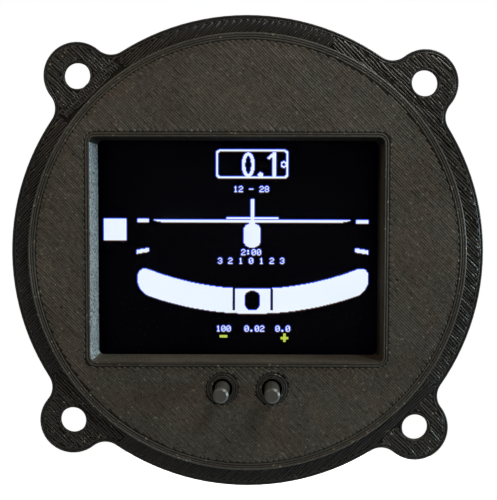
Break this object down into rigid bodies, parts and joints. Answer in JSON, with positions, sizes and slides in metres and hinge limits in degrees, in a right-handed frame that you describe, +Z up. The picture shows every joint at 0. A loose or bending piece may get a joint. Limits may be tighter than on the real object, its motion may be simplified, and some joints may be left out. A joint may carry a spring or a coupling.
{
  "type": "digital turn coordinator",
  "caption": "Panel instrument that shows roll and rate of turn on a rectangular display behind a window in a round flanged housing, with two push buttons.",
  "frame": {"origin": "centre of the bolt circle on the front of the flange, where it meets the back of the panel", "axes": "+Z up, +X to the right as the pilot sees it, -Y out of the panel towards the pilot"},
  "size_m": [0.0858, 0.0738, 0.0858],
  "materials": {
    "housing_plastic": "printed in fine layers, matte",
    "case_plastic": "printed in fine layers, matte",
    "button_plastic": "moulded, satin",
    "switch_plastic": "moulded",
    "switch_metal": "tinned",
    "cover_glass": "clear, polished",
    "lcd_glass": "dark polariser",
    "light_guide": "milky",
    "frame_steel": "pressed sheet",
    "foam": "closed cell foam",
    "ribbon_film": "amber film",
    "socket_plastic": "moulded",
    "board_laminate": "solder mask",
    "brass_parts": "turned",
    "gold_contacts": "gold plated",
    "screw_steel": "blackened",
    "plated_steel": "nickel plated",
    "connector_plastic": "moulded",
    "chip_epoxy": "moulded epoxy",
    "crystal_can": "pressed can",
    "ferrite": "ferrite",
    "capacitor_can": "drawn can",
    "capacitor_base": "moulded",
    "fuse_body": "ceramic",
    "ceramic": "ceramic",
    "resistor_body": "ceramic",
    "red_insulation": "extruded",
    "black_insulation": "extruded",
    "blue_insulation": "extruded",
    "white_insulation": "extruded"
  },
  "bodies": {
    "instrument": {"front_housing": "housing_plastic", "rear_housing": "case_plastic", "rear_cover": "case_plastic", "left_switch_base": "switch_plastic", "right_switch_base": "switch_plastic", "left_switch_plate": "switch_metal", "right_switch_plate": "switch_metal", "switch_domes": "switch_metal", "switch_legs": "switch_metal", "cover_glass": "cover_glass", "lcd_panel": "lcd_glass", "backlight_plate": "light_guide", "display_frame": "frame_steel", "display_gasket": "foam", "display_tape": "foam", "display_ribbon": "ribbon_film", "ribbon_socket": "socket_plastic", "wire_socket": "socket_plastic", "wire_plug": "socket_plastic", "header_blocks": "socket_plastic", "display_board": "board_laminate", "main_board": "board_laminate", "standoffs": "brass_parts", "threaded_inserts": "brass_parts", "connector_contacts": "gold_contacts", "header_pins": "gold_contacts", "board_screws": "screw_steel", "case_screws": "screw_steel", "connector_shell": "plated_steel", "jack_posts": "plated_steel", "jack_nuts": "plated_steel", "connector_insert": "connector_plastic", "processor_chip": "chip_epoxy", "memory_chip": "chip_epoxy", "gyro_chip": "chip_epoxy", "regulator": "chip_epoxy", "input_diode": "chip_epoxy", "processor_crystal": "crystal_can", "power_inductor": "ferrite", "capacitor_cans": "capacitor_can", "capacitor_bases": "capacitor_base", "input_fuse": "fuse_body", "ceramic_capacitors": "ceramic", "resistors": "resistor_body", "power_wire": "red_insulation", "ground_wire": "black_insulation", "signal_wire": "blue_insulation", "return_wire": "white_insulation"},
    "left_plunger": {"left_button": "button_plastic"},
    "right_plunger": {"right_button": "button_plastic"}
  },
  "joints": [
    {"name": "left_button_press", "type": "slide", "parent": "instrument", "child": "left_plunger", "axis": [0, 1, 0], "range_m": [0, 0.00025], "stiffness_N_per_m": 6400, "springref_m": -0.00005},
    {"name": "right_button_press", "type": "slide", "parent": "instrument", "child": "right_plunger", "axis": [0, 1, 0], "range_m": [0, 0.00025], "stiffness_N_per_m": 6400, "springref_m": -0.00005}
  ]
}
